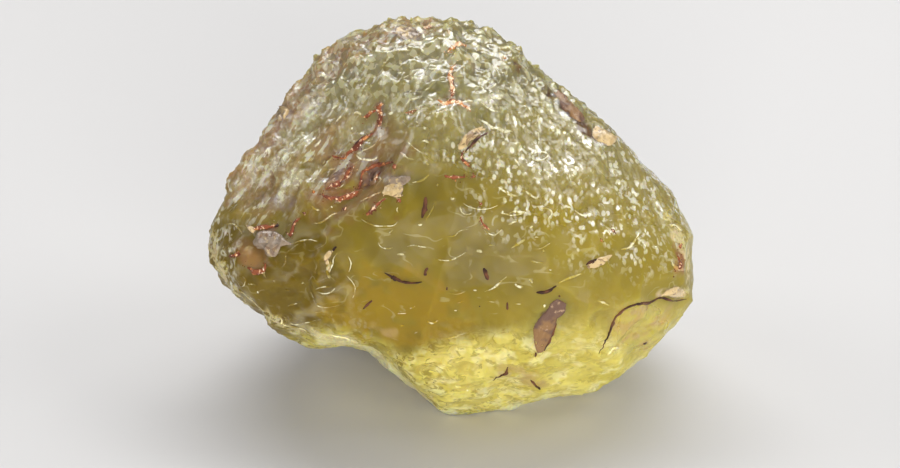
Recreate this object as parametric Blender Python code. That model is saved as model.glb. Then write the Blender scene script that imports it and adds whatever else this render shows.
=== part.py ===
"""A lump of Libyan desert glass: one natural stone, worn by wind-blown sand, lying on its flat underside.

The stone is one star-shaped body about its centre. In every direction its surface lies at 1 / gauge,
where the gauge is a smooth maximum of a leaning pillow, which gives the outline, and of flat facets,
which give the broad faces. Flake scars are then dished out of it, and cup-shaped pits with sharp
ridges between them are pressed into it. Lengths are in metres, +Z is up, and the front faces -Y.
"""

import math

import bmesh
import bpy
import numpy as np

# The body
LEAN = math.radians(28)  # how far the plane of the outline leans back from upright
CENTRE = (-0.0001, -0.0024, 0.0220)  # of the body, with the middle of the stone's box over the origin
FRONT_DEPTH = 0.0195  # from the centre to the pillow's front and back
BACK_DEPTH = 0.0250
PILLOW_POWER = 2.4  # 2 is an ellipsoid, and more is boxier
BLEND_POWER = 18  # how sharply the facets meet
FACE_CELLS = 28  # mesh squares along each face of the cube that the mesh starts from

# The outline's corners, to the right and up in the leaning plane, counter-clockwise from the right
OUTLINE = (
    (0.0320, -0.0060),
    (0.0295, 0.0025),
    (0.0250, 0.0085),
    (0.0195, 0.0140),
    (0.0130, 0.0190),
    (0.0070, 0.0245),
    (0.0005, 0.0280),
    (-0.0070, 0.0285),
    (-0.0150, 0.0240),
    (-0.0215, 0.0185),
    (-0.0260, 0.0125),
    (-0.0310, 0.0070),
    (-0.0330, -0.0030),
    (-0.0290, -0.0095),
    (-0.0240, -0.0135),
    (-0.0185, -0.0155),
    (-0.0125, -0.0160),
    (-0.0090, -0.0185),
    (-0.0055, -0.0215),
    (-0.0015, -0.0245),
    (0.0045, -0.0255),
    (0.0090, -0.0240),
    (0.0145, -0.0235),
    (0.0210, -0.0210),
    (0.0270, -0.0165),
    (0.0310, -0.0120),
)

# The broad faces: the way each one faces, as degrees round from +X and degrees up, and its distance
# from the centre
FACETS = {
    "crown": (85, 68, 0.0274),
    "upper left face": (230, 40, 0.0214),
    "upper right face": (-46, 44, 0.0212),
    "front belly": (-94, 0, 0.0188),
    "left end": (186, 10, 0.0335),
    "right end": (-4, 6, 0.0345),
    "undercut front": (-84, -28, 0.0222),
    "undercut left": (212, -48, 0.0256),
    "undercut right": (-22, -46, 0.0312),
    "back": (92, 22, 0.0225),
    "back left": (142, 8, 0.0245),
    "back right": (40, 14, 0.0250),
    "back foot": (98, -34, 0.0220),
}

# Flake scars, each a shallow dish: a point near its middle as right, up and out of the leaning plane,
# then its radius and depth
SCARS = {
    "valley below the crown": ((0.0105, 0.0110, 0.0150), 0.0085, 0.0009),
    "broken steps": ((-0.0105, 0.0085, 0.0160), 0.0070, 0.0010),
    "lower right flake": ((0.0255, -0.0130, 0.0090), 0.0085, 0.0012),
    "left lobe cup": ((-0.0200, -0.0085, 0.0120), 0.0060, 0.0008),
    "notch beside the foot": ((-0.0110, -0.0180, 0.0060), 0.0060, 0.0014),
    "right shoulder step": ((0.0215, 0.0115, 0.0020), 0.0045, 0.0009),
    "hollow at the back": ((0.0060, 0.0040, -0.0240), 0.0120, 0.0018),
    "chip at the back": ((-0.0170, 0.0060, -0.0180), 0.0075, 0.0014),
}

# Lumps and pits, sunk from a skin that stands a little outside the body, so that the body is their mean
SKIN = 0.0011
SWELL_SIZE, SWELL_DEPTH = 0.0105, 0.0009
PIT_SIZE, PIT_DEPTH = 0.0056, 0.0009
CROWN_SIZE, CROWN_DEPTH = 0.0044, 0.0012
FURROW_SPACING, FURROW_DEPTH = 0.0056, 0.0008
FURROW_ANGLE = math.radians(52)  # how steeply the furrows climb to the right over the upper left face


def leaning_axes():
    """The outline's plane: to the right, up in the plane, and out of it to the front."""
    right = np.array((1.0, 0.0, 0.0))
    up = np.array((0.0, math.sin(LEAN), math.cos(LEAN)))
    out = np.array((0.0, -math.cos(LEAN), math.sin(LEAN)))
    return np.stack((right, up, out))


def facing(turned, raised):
    """The unit vector that lies so many degrees round from +X and so many degrees up."""
    turn, tilt = math.radians(turned), math.radians(raised)
    return np.array((math.cos(tilt) * math.cos(turn), math.cos(tilt) * math.sin(turn), math.sin(tilt)))


def outline_radius(angle):
    """The outline's radius at each angle: a closed cubic through its corners, with mean slopes."""
    corners = np.array(OUTLINE)
    at = np.unwrap(np.arctan2(corners[:, 1], corners[:, 0]))
    radius = np.hypot(corners[:, 0], corners[:, 1])
    full = 2 * math.pi
    at = np.concatenate((at[-2:] - full, at, at[:3] + full))
    radius = np.concatenate((radius[-2:], radius, radius[:3]))
    slope = np.gradient(radius, at)
    angle = at[1] + np.mod(angle - at[1], full)
    i = np.clip(np.searchsorted(at, angle, side="right") - 1, 0, len(at) - 2)
    step = at[i + 1] - at[i]
    t = (angle - at[i]) / step
    return (
        radius[i] * (1 + 2 * t) * (1 - t) ** 2
        + step * slope[i] * t * (1 - t) ** 2
        + radius[i + 1] * t**2 * (3 - 2 * t)
        + step * slope[i + 1] * t**2 * (t - 1)
    )


def body_radius(directions):
    """1 / gauge: the p-norm of the pillow's own gauge and of each facet's slope over its distance."""
    right, up, out = leaning_axes() @ directions.T
    across = np.hypot(right, up) / outline_radius(np.arctan2(up, right))
    deep = np.abs(out) / np.where(out > 0, FRONT_DEPTH, BACK_DEPTH)
    pillow = (across**PILLOW_POWER + deep**PILLOW_POWER) ** (1 / PILLOW_POWER)
    gauge = pillow**BLEND_POWER
    for turned, raised, distance in FACETS.values():
        gauge += (np.maximum(directions @ facing(turned, raised), 0) / distance) ** BLEND_POWER
    return gauge ** (-1 / BLEND_POWER)


def scars(directions, radius):
    """How far the scars are cut in: each is depth * (1 - (distance / radius)^2)^2 inside its radius."""
    points = directions * radius[:, None]
    cut = np.zeros(len(points))
    for near, reach, depth in SCARS.values():
        towards = np.array(near) @ leaning_axes()
        towards /= np.linalg.norm(towards)
        middle = towards * body_radius(towards[None])[0]
        inside = np.clip(1 - ((points - middle) ** 2).sum(axis=1) / reach**2, 0, 1)
        cut = np.maximum(cut, depth * inside**2)
    return cut


def scatter(cells, seed):
    """Three numbers from 0 to 1 for each whole-numbered cell, always the same for the same cell."""
    mixed = cells.astype(np.int64) @ np.array((73856093, 19349663, 83492791)) + seed * 2654435761
    found = []
    for _ in range(3):
        mixed = (mixed ^ (mixed >> 13)) * 1274126177 & 0xFFFFFFFF
        found.append((mixed >> 8 & 0xFFFF) / 0xFFFF)
    return np.stack(found, axis=1)


def cups(points, size, seed):
    """0 at the middle of each pit and 1 on the ridges: the squared distance to the nearest pit's middle."""
    scaled = points / size
    home = np.floor(scaled)
    nearest = np.full(len(points), 9.0)
    for step in np.ndindex(3, 3, 3):
        cell = home + step - 1
        middle = cell + 0.1 + 0.8 * scatter(cell, seed)
        nearest = np.minimum(nearest, ((scaled - middle) ** 2).sum(axis=1))
    return np.minimum(nearest / 0.6, 1)


def ramp(low, high, value):
    """0 below low and 1 above high, smooth between."""
    t = np.clip((value - low) / (high - low), 0, 1)
    return t * t * (3 - 2 * t)


def furrows(right, up, bend):
    """0 in the furrows and 1 on the crests between them: a wave across their run, pushed about by bend."""
    across = right * math.sin(FURROW_ANGLE) - up * math.cos(FURROW_ANGLE)
    return np.abs(np.sin(math.pi * (across / FURROW_SPACING + 0.5 * bend)))


def relief(points):
    """Swells everywhere, pits all over but shallow in the smooth middle, chunky facets on the crown, and
    furrows down the upper left face."""
    right, up, out = leaning_axes() @ points.T
    crown = ramp(0.012, 0.021, up)
    middle = (1 - ramp(0.010, 0.020, np.hypot(right, 1.4 * (up + 0.006)))) * (out > 0)
    left = ramp(0.002, 0.010, -right) * ramp(-0.002, 0.006, up) * (1 - crown)
    swells = cups(points, SWELL_SIZE, 3)
    pits = PIT_DEPTH * (1 - cups(points, PIT_SIZE, 7)) * (1 - 0.7 * middle) * (1 - crown)
    chunks = CROWN_DEPTH * (1 - cups(points, CROWN_SIZE, 11)) * crown
    furrowed = FURROW_DEPTH * (1 - furrows(right, up, swells)) * left
    return SWELL_DEPTH * (1 - swells) + pits + chunks + furrowed


def surface(directions):
    """The point of the stone's surface in each direction, as seen from its centre."""
    radius = body_radius(directions)
    radius = radius - scars(directions, radius)
    radius = radius + SKIN - relief(directions * radius[:, None])
    return directions * radius[:, None] + np.array(CENTRE)


def sphere_mesh():
    """A cube whose faces are cut in squares, put on a sphere with equal angles between the cuts."""
    mesh = bmesh.new()
    bmesh.ops.create_cube(mesh, size=2)
    bmesh.ops.subdivide_edges(mesh, edges=mesh.edges[:], cuts=FACE_CELLS - 1, use_grid_fill=True)
    for vertex in mesh.verts:
        spread = [math.tan(side * math.pi / 4) for side in vertex.co]
        vertex.co = spread
        vertex.co.normalize()
    return mesh


def cut_flat(mesh):
    """The underside, ground off in the plane that the stone rests on."""
    everything = mesh.verts[:] + mesh.edges[:] + mesh.faces[:]
    bmesh.ops.bisect_plane(
        mesh, geom=everything, dist=1e-7, plane_co=(0, 0, 0), plane_no=(0, 0, 1), clear_inner=True
    )
    rim = [edge for edge in mesh.edges if edge.is_boundary]
    for edge in rim:
        for vertex in edge.verts:
            vertex.co.z = 0
    bmesh.ops.holes_fill(mesh, edges=rim, sides=0)


def glass_material():
    """Mustard-yellow natural glass, frosted by sand."""
    material = bpy.data.materials.new("desert glass")
    material.use_nodes = True
    shader = material.node_tree.nodes["Principled BSDF"]
    shader.inputs["Base Color"].default_value = (0.42, 0.36, 0.08, 1)
    shader.inputs["Roughness"].default_value = 0.22
    shader.inputs["Metallic"].default_value = 0
    shader.inputs["IOR"].default_value = 1.46
    shader.inputs["Transmission Weight"].default_value = 0.7
    return material


def make_stone(collection):
    """The whole stone, one object."""
    mesh = sphere_mesh()
    directions = np.array([vertex.co for vertex in mesh.verts])
    for vertex, place in zip(mesh.verts, surface(directions)):
        vertex.co = place
    cut_flat(mesh)
    bmesh.ops.recalc_face_normals(mesh, faces=mesh.faces[:])
    data = bpy.data.meshes.new("desert_glass")
    mesh.to_mesh(data)
    mesh.free()
    data.materials.append(glass_material())
    stone = bpy.data.objects.new("desert_glass", data)
    collection.objects.link(stone)
    return stone


def main():
    for old in list(bpy.data.objects):
        bpy.data.objects.remove(old)
    collection = bpy.data.collections.new("libyan desert glass")
    bpy.context.scene.collection.children.link(collection)
    make_stone(collection)


main()
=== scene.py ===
"""A lump of Libyan desert glass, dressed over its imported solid, on a plain pale floor."""

import math

import bpy
import numpy as np
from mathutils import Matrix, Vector


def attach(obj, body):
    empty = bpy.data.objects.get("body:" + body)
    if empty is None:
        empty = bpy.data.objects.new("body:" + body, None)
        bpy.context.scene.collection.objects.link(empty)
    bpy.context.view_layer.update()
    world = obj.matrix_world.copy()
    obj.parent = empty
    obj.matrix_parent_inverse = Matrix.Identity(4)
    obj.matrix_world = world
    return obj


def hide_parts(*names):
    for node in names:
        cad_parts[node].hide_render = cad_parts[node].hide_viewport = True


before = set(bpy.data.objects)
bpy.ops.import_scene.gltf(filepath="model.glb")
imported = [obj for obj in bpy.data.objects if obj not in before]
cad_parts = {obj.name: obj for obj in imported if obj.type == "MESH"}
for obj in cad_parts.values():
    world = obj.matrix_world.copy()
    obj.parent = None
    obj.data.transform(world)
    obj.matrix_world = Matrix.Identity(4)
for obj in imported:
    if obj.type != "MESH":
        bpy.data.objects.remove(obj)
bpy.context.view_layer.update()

# ---------------------------------------------------------------------------------------------------
# The stone. One lump of natural glass, formed when desert sand melted, then worn by blown sand: broad
# faces that meet at blunt ridges, dished flake scars, a chipped crown, a grainy right face and a smooth
# middle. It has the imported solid's form, with the fine wear added.
# ---------------------------------------------------------------------------------------------------

LEAN = math.radians(28)  # how far the plane of the outline leans back from upright
CENTRE = np.array((-0.0001, -0.0024, 0.0220))
FRONT_DEPTH = 0.0195
BACK_DEPTH = 0.0250
PILLOW_POWER = 2.4
BLEND_POWER = 18
FACE_CELLS = 128
FRONT_CROWDING = 0.22  # how far the mesh is crowded towards the front, where the finest wear is

# Places in the leaning plane are written as right, up, right, up and so on, in tenths of a millimetre.
# These are the outline's corners, counter-clockwise from the right.
OUTLINE = (
    320, -60, 295, 25, 250, 85, 195, 140, 130, 190, 70, 245, 5, 280, -70, 285, -150, 240, -215, 185, -260,
    125, -310, 70, -330, -30, -290, -95, -240, -135, -185, -155, -125, -160, -90, -185, -55, -215, -15,
    -245, 45, -255, 90, -240, 145, -235, 210, -210, 270, -165, 310, -120,
)

# Degrees round from +X, degrees up, and the distance from the centre
FACETS = {
    "crown": (85, 68, 0.0274),
    "upper left face": (230, 40, 0.0214),
    "upper right face": (-46, 44, 0.0212),
    "front belly": (-94, 0, 0.0188),
    "left end": (186, 10, 0.0335),
    "right end": (-4, 6, 0.0345),
    "undercut front": (-84, -28, 0.0222),
    "undercut left": (212, -48, 0.0256),
    "undercut right": (-22, -46, 0.0312),
    "back": (92, 22, 0.0225),
    "back left": (142, 8, 0.0245),
    "back right": (40, 14, 0.0250),
    "back foot": (98, -34, 0.0220),
}

# A point near each scar's middle as right, up and out of the leaning plane, then its radius and depth
SCARS = {
    "valley below the crown": ((0.0105, 0.0110, 0.0150), 0.0085, 0.0009),
    "broken steps": ((-0.0105, 0.0085, 0.0160), 0.0070, 0.0010),
    "lower right flake": ((0.0255, -0.0130, 0.0090), 0.0085, 0.0012),
    "left lobe cup": ((-0.0200, -0.0085, 0.0120), 0.0060, 0.0008),
    "notch beside the foot": ((-0.0110, -0.0180, 0.0060), 0.0060, 0.0014),
    "right shoulder step": ((0.0215, 0.0115, 0.0020), 0.0045, 0.0009),
    "hollow at the back": ((0.0060, 0.0040, -0.0240), 0.0120, 0.0018),
    "chip at the back": ((-0.0170, 0.0060, -0.0180), 0.0075, 0.0014),
}

SKIN = 0.0011
SWELL_SIZE, SWELL_DEPTH = 0.0105, 0.0009
PIT_SIZE, PIT_DEPTH = 0.0056, 0.0009
CROWN_SIZE, CROWN_DEPTH = 0.0044, 0.0012
FURROW_SPACING, FURROW_DEPTH = 0.0056, 0.0008
FURROW_ANGLE = math.radians(52)
BEND, BEND_SIZE = 0.0011, 0.0032
FINE_SKIN = 0.0003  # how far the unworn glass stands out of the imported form
# How low the crowded grains reach
SMOOTH_EDGE = (-120, 90, -70, 70, 0, 50, 40, 25, 80, 5, 120, -10, 160, -30, 220, -25, 290, -25, 330, 0)
SIGHT_DISTANCE = 0.350  # marks on the front are placed as they line up from here, out from the centre
NORMAL_STEP = 0.0006


def pairs(tenths):
    """Right, up, right, up and so on, in tenths of a millimetre, as an array of places in mm."""
    return np.reshape(tenths, (-1, 2)) / 10


def leaning_axes():
    """The outline's plane: to the right, up in the plane, and out of it to the front."""
    sine, cosine = math.sin(LEAN), math.cos(LEAN)
    return np.array(((1, 0, 0), (0, sine, cosine), (0, -cosine, sine)))


def facing(turned, raised):
    """The unit vector that lies so many degrees round from +X and so many degrees up."""
    turn, tilt = math.radians(turned), math.radians(raised)
    return np.array((math.cos(tilt) * math.cos(turn), math.cos(tilt) * math.sin(turn), math.sin(tilt)))


def ramp(low, high, value):
    """0 below low and 1 above high, smooth between: t * t * (3 - 2 * t)."""
    t = np.clip((value - low) / (high - low), 0, 1)
    return t * t * (3 - 2 * t)


def smooth_through(knots, values, where):
    """A cubic through the values at the knots, with each knot's slope the mean of its neighbours'."""
    slope = np.gradient(values, knots, axis=0)
    i = np.clip(np.searchsorted(knots, where, side="right") - 1, 0, len(knots) - 2)
    step, t = knots[i + 1] - knots[i], (where - knots[i]) / (knots[i + 1] - knots[i])
    if values.ndim == 2:
        step, t = step[:, None], t[:, None]
    ends = values[i] * (1 + 2 * t) * (1 - t) ** 2 + values[i + 1] * t**2 * (3 - 2 * t)
    return ends + step * (slope[i] * t * (1 - t) ** 2 + slope[i + 1] * t**2 * (t - 1))


def outline_radius(angle):
    """The outline's radius at each angle round the plane's origin: a cubic through its corners."""
    corners = pairs(OUTLINE) / 1000
    at = np.arctan2(corners[:, 1], corners[:, 0])
    order = np.argsort(at)
    at, radius = at[order], np.hypot(corners[:, 0], corners[:, 1])[order]
    full = 2 * math.pi
    at = np.concatenate((at[-3:] - full, at, at[:3] + full))
    radius = np.concatenate((radius[-3:], radius, radius[:3]))
    return smooth_through(at, radius, np.mod(angle + math.pi, full) - math.pi)


def body_radius(directions):
    """1 / gauge: the p-norm of a leaning pillow's gauge and of each facet's slope over its distance."""
    right, up, out = leaning_axes() @ directions.T
    across = np.hypot(right, up) / outline_radius(np.arctan2(up, right))
    deep = np.abs(out) / np.where(out > 0, FRONT_DEPTH, BACK_DEPTH)
    pillow = (across**PILLOW_POWER + deep**PILLOW_POWER) ** (1 / PILLOW_POWER)
    gauge = pillow**BLEND_POWER
    for turned, raised, distance in FACETS.values():
        gauge += (np.maximum(directions @ facing(turned, raised), 0) / distance) ** BLEND_POWER
    return gauge ** (-1 / BLEND_POWER)


def scars(directions, radius):
    """How far the scars are cut in: each is depth * (1 - (distance / radius)^2)^2 inside its radius."""
    points = directions * radius[:, None]
    cut = np.zeros(len(points))
    for near, reach, depth in SCARS.values():
        towards = np.array(near) @ leaning_axes()
        towards /= np.linalg.norm(towards)
        middle = towards * body_radius(towards[None])[0]
        inside = np.clip(1 - ((points - middle) ** 2).sum(axis=1) / reach**2, 0, 1)
        cut = np.maximum(cut, depth * inside**2)
    return cut


def scatter(cells, seed):
    """Three numbers from 0 to 1 for each whole-numbered cell, always the same for the same cell."""
    mixed = cells.astype(np.int64) @ np.array((73856093, 19349663, 83492791)) + seed * 2654435761
    found = []
    for _ in range(3):
        mixed = (mixed ^ (mixed >> 13)) * 1274126177 & 0xFFFFFFFF
        found.append((mixed >> 8 & 0xFFFF) / 0xFFFF)
    return np.stack(found, axis=1)


def cups(points, size, seed, uneven=0.0):
    """0 at the middle of each pit and 1 on the ridges: the squared distance to the nearest pit's middle,
    with each pit's floor raised by a chance share of uneven, so that some pits swallow others."""
    scaled = points / size
    home = np.floor(scaled)
    nearest = np.full(len(points), 9.0)
    for step in np.ndindex(3, 3, 3):
        cell = home + step - 1
        chance = scatter(cell, seed)
        middle = cell + 0.1 + 0.8 * chance
        nearest = np.minimum(nearest, ((scaled - middle) ** 2).sum(axis=1) + uneven * chance[:, 0])
    return np.minimum(nearest / (0.6 + 0.6 * uneven), 1)


def drift(points, size, seed):
    """Three smooth wandering numbers from -1 to 1: chance values at the corners of cells, blended."""
    scaled = points / size
    home = np.floor(scaled)
    t = scaled - home
    t = t * t * (3 - 2 * t)
    total = np.zeros(points.shape)
    for step in np.ndindex(2, 2, 2):
        weight = np.prod(np.where(step, t, 1 - t), axis=1)
        total += weight[:, None] * (2 * scatter(home + step, seed) - 1)
    return total


def furrows(right, up, bend):
    """0 in the furrows and 1 on the crests between: a wave across their run, pushed about by bend."""
    across = right * math.sin(FURROW_ANGLE) - up * math.cos(FURROW_ANGLE)
    return np.abs(np.sin(math.pi * (across / FURROW_SPACING + 0.5 * bend)))


def relief(points):
    """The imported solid's relief: swells, pits, chunky facets on the crown, furrows on the upper left."""
    right, up, out = leaning_axes() @ points.T
    crown = ramp(0.012, 0.021, up)
    middle = (1 - ramp(0.010, 0.020, np.hypot(right, 1.4 * (up + 0.006)))) * (out > 0)
    left = ramp(0.002, 0.010, -right) * ramp(-0.002, 0.006, up) * (1 - crown)
    bent = points + BEND * drift(points, BEND_SIZE, 2)
    swells = cups(bent, SWELL_SIZE, 3)
    right_face = ramp(-0.002, 0.006, right) * ramp(-0.004, 0.004, up) * (out > 0)
    pits = PIT_DEPTH * (1 - cups(bent, PIT_SIZE, 7)) * (1 - 0.7 * middle) * (1 - 0.6 * right_face)
    pits *= 1 - crown
    chunks = CROWN_DEPTH * (1 - cups(bent, CROWN_SIZE, 11)) * crown
    furrowed = FURROW_DEPTH * (1 - furrows(right, up, swells)) * left
    return SWELL_DEPTH * (1 - swells) + pits + chunks + furrowed


def form_radius(directions):
    """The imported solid's surface: how far it is from the centre in each direction."""
    radius = body_radius(directions)
    radius -= scars(directions, radius)
    return radius + SKIN - relief(directions * radius[:, None])


def zones(points):
    """How strongly each kind of wear shows, from 0 to 1, over the leaning plane's right and up."""
    right, up, out = leaning_axes() @ points.T
    front = ramp(-0.004, 0.004, out)
    wander = 0.003 * drift(points, 0.006, 41)
    x, y = right + wander[:, 0], up + wander[:, 1]
    crown = ramp(0.013, 0.020, y)
    flake_scar = front * (1 - ramp(0.0030, 0.0055, np.hypot(right - 0.0245, 1.2 * (up + 0.0133))))
    foot = (1 - ramp(-0.016, -0.010, y - 0.10 * x)) * (1 - flake_scar)
    left = (1 - ramp(-0.014, -0.006, x)) * ramp(0.000, 0.006, y) * (1 - crown)
    lobe = (1 - ramp(-0.017, -0.010, x)) * (1 - ramp(-0.002, 0.004, y))
    smooth_edge = np.interp(x, *pairs(SMOOTH_EDGE).T / 1000)
    right_face = ramp(-0.010, -0.004, x) * ramp(-0.001, 0.004, y - smooth_edge) * (1 - crown) * (1 - left)
    middle = front * np.clip(1 - crown - foot - left - lobe - right_face - flake_scar, 0, 1)
    zone = {
        "crown": crown,
        "foot": foot * front * (1 - lobe),
        "left": left,
        "lobe": lobe,
        "right": right_face,
        "middle": middle,
        "flake scar": flake_scar,
    }
    return zone | {"elsewhere": np.clip(1 - sum(zone.values()), 0, 1)}


def chips(points, size, seed):
    """-1 to 1: each cell is a flat chip with its own chance tilt, (point - middle) . tilt in cells."""
    scaled = points / size
    home = np.floor(scaled)
    nearest = np.full(len(points), 9.0)
    height = np.zeros(len(points))
    for step in np.ndindex(3, 3, 3):
        cell = home + step - 1
        away = scaled - cell - 0.1 - 0.8 * scatter(cell, seed)
        distance = (away**2).sum(axis=1)
        tilted = ((2 * scatter(cell, seed + 1) - 1) * away).sum(axis=1)
        height = np.where(distance < nearest, tilted, height)
        nearest = np.minimum(nearest, distance)
    return height


def lobe_cups(points):
    """Broad shallow cups with thin rims between, as cups gives them."""
    return cups(points + 0.0008 * drift(points, 0.003, 6), 0.0034, 19, 0.4)


def grains(points):
    """0 on the round tops of crowded grains and 1 in the grooves between them."""
    return cups(points + 0.0005 * drift(points, 0.0016, 5), 0.00145, 13, 0.5)


def streaked(points, size=0.0013, seed=23):
    """Small cups drawn out along the furrows."""
    along = leaning_axes().T @ (math.cos(FURROW_ANGLE), math.sin(FURROW_ANGLE), 0)
    drawn = points - 0.66 * (points @ along)[:, None] * along
    return cups(drawn + 0.0004 * drift(points, 0.0020, 5), size, seed, 0.35)


def creases(points):
    """1 in fine wandering creases and 0 between: where a bent drift, drawn out sideways, crosses 0."""
    drawn = points * (0.6, 1, 1) + 0.0007 * drift(points, 0.0016, 9)
    coarse = np.abs(drift(drawn, 0.0013, 29)[:, 0])
    fine = np.abs(drift(drawn, 0.0007, 30)[:, 1])
    return np.maximum(1 - ramp(0.0, 0.30, coarse), 0.6 * (1 - ramp(0.0, 0.34, fine)))


# How deep each kind of fine wear goes, in m, and its share of each zone
WEAR = {
    "grains": (0.00034, {"right": 1, "elsewhere": 1, "crown": 0.2}),
    "small cups": (0.00034, {"right": 0.8, "elsewhere": 0.8, "crown": 0.8, "left": 0.3}),
    "broad cups": (0.00062, {"lobe": 0.8, "crown": 0.4, "middle": 0.2}),
    "big chips": (0.00034, {"crown": 1}),
    "small chips": (0.00030, {"crown": 1, "left": 0.7}),
    "streaks": (0.00036, {"left": 1, "lobe": 0.25}),
    "fine streaks": (0.00018, {"left": 1}),
    "creases": (0.00015, {"foot": 1, "lobe": 0.8}),
    "faint cups": (0.00010, {"middle": 1}),
    "knobs": (1, {"foot": 0.5, "lobe": 1, "left": 1, "crown": 1}),  # whose surface is in m already
}


def wear(points):
    """The fine relief: the sum over the kinds of wear of surface . depth . the zones' shares."""
    small = 1 - cups(points + 0.0005 * drift(points, 0.0016, 5), 0.0023, 17, 0.6)
    surfaces = {
        "grains": grains(points),
        "small cups": small,
        "broad cups": 1 - lobe_cups(points),
        "big chips": chips(points, 0.0019, 31),
        "small chips": chips(points, 0.0010, 33),
        "streaks": 1 - streaked(points),
        "fine streaks": 1 - streaked(points, 0.0008, 37),
        "creases": creases(points),
        "faint cups": small,
        "knobs": 0.00022 * drift(points, 0.0009, 43)[:, 0] + 0.00016 * drift(points, 0.0018, 44)[:, 0],
    }
    zone = zones(points)
    total = 0
    for kind, (depth, shares) in WEAR.items():
        total += depth * surfaces[kind] * sum(share * zone[name] for name, share in shares.items())
    return total


def stone_surface(directions):
    """The worn surface's points round the centre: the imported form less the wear, and flat underneath."""
    radius = form_radius(directions)
    radius += FINE_SKIN - wear(directions * radius[:, None])
    points = directions * radius[:, None]
    points[:, 2] = np.maximum(points[:, 2], -CENTRE[2])
    return points


def unit(vectors):
    """Each vector over its own length."""
    return vectors / np.linalg.norm(vectors, axis=-1)[..., None]


def land(places, behind=False):
    """(points, outward normals) where the sight lines through places on the leaning plane, right and up
    in mm, meet the stone's front, or its back as seen from behind. Each line is stepped in until it is
    inside the plain body, or nearest to it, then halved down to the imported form."""
    right, up, out = leaning_axes()
    if behind:
        right, out = -right, -out
    places = np.asarray(places) / 1000
    plane = places[:, :1] * right + places[:, 1:] * up
    sight = unit(SIGHT_DISTANCE * out - plane)
    meets, lowest = np.zeros(len(plane)), np.full(len(plane), 9.0)
    inside = np.zeros(len(plane), bool)
    for step in np.linspace(0.030, -0.030, 61):
        points = plane + step * sight
        above = np.linalg.norm(points, axis=1) - body_radius(unit(points))
        nearer = ~inside & (above < lowest)
        meets[nearer], lowest[nearer] = step, above[nearer]
        inside |= above < 0
    near, far = meets + 0.003 * inside, meets - 0.004 * inside
    for _ in range(9):
        halfway = (near + far) / 2
        points = plane + halfway[:, None] * sight
        within = np.linalg.norm(points, axis=1) < form_radius(unit(points))
        near, far = np.where(within, near, halfway), np.where(within, halfway, far)
    points = stone_surface(unit(points))
    spin = unit(np.cross(points, up))
    tilt = unit(np.cross(spin, points))
    around = [unit(points + NORMAL_STEP * way) for way in (spin, tilt, -spin, -tilt)]
    a, b, c, d = (way * form_radius(way)[:, None] for way in around)
    normals = unit(np.cross(a - c, b - d))
    facing_out = np.sign((normals * points).sum(axis=1))[:, None]
    return points + CENTRE, normals * facing_out


def smooth_path(places, spacing=0.15):
    """A path through the places, as points in mm that are about evenly spaced."""
    places = pairs(places)
    knots = np.concatenate(([0], np.cumsum(np.linalg.norm(np.diff(places, axis=0), axis=1))))
    return smooth_through(knots, places, np.linspace(0, knots[-1], max(int(knots[-1] / spacing), 4) + 1))


def painted(spots, points, ragged):
    """1 along the spots' paths on the stone and 0 from their reach away, with a ragged edge."""
    paths = [smooth_path(places, 0.8) for places, _ in spots]
    landed = np.split(land(np.concatenate(paths))[0], np.cumsum([len(path) for path in paths])[:-1])
    strength = np.zeros(len(points))
    for (_, reach), path in zip(spots, landed):
        near = np.nonzero(np.linalg.norm(points - path.mean(axis=0), axis=1) < 0.03)[0]
        if len(near):
            away = np.min([np.linalg.norm(points[near] - spot, axis=1) for spot in path], axis=0)
            away = 1000 * away / reach + 0.5 * ragged[near]
            strength[near] = np.maximum(strength[near], 1 - ramp(0.35, 1.0, away))
    return strength


def cube_sphere(cells):
    """(directions, quads) of a cube's six faces put on a sphere: each face is a grid of two parameters,
    whose tangents are evenly spaced angles. The faces' shared edges are merged."""
    angle = np.linspace(-math.pi / 4, math.pi / 4, cells + 1)
    u, v = np.meshgrid(np.tan(angle), np.tan(angle), indexing="ij")
    one = np.ones_like(u)
    sides = []
    for axis in range(3):
        for sign in (1, -1):
            grid = np.stack((sign * one, u, sign * v), axis=-1)
            sides.append(np.roll(grid, axis, axis=-1).reshape(-1, 3))
    corner = np.arange((cells + 1) ** 2).reshape(cells + 1, cells + 1)
    quad = np.stack((corner[:-1, :-1], corner[1:, :-1], corner[1:, 1:], corner[:-1, 1:]), axis=-1)
    quads = np.concatenate([quad.reshape(-1, 4) + side * corner.size for side in range(6)])
    everything = np.concatenate(sides)
    _, first, merged = np.unique(
        np.round(everything * 1e6).astype(np.int64), axis=0, return_index=True, return_inverse=True
    )
    return unit(everything[first]), merged.reshape(-1)[quads]


def solid_mesh(name, points, faces):
    """A smooth-shaded mesh object of these points and faces."""
    mesh = bpy.data.meshes.new(name)
    mesh.from_pydata(points.tolist(), [], faces if isinstance(faces, list) else faces.tolist())
    mesh.update()
    mesh.shade_smooth()
    made = bpy.data.objects.new(name, mesh)
    bpy.context.scene.collection.objects.link(made)
    return made


def paint(piece, name, values):
    """Keeps one number at each of the piece's points, for its material to read."""
    layer = piece.data.attributes.new(name, "FLOAT", "POINT")
    layer.data.foreach_set("value", np.clip(values, 0, 1).astype(np.float32))


directions, quads = cube_sphere(FACE_CELLS)
directions = unit(directions + FRONT_CROWDING * leaning_axes()[2])
worn = stone_surface(directions)
points = worn + CENTRE
stone = solid_mesh("glass_stone", points, quads)

# How high the lemon foot reaches: the glass's own yellow there, painted lighter as a glow of the light
# coming through
LEMON_EDGE = (
    -400, -40, -330, -60, -300, -85, -270, -110, -240, -128, -200, -136, -150, -130, -100, -144, -60,
    -152, 10, -142, 50, -130, 90, -118, 120, -102, 180, -98, 220, -106, 260, -98, 310, -90, 400, -80,
)
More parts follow.
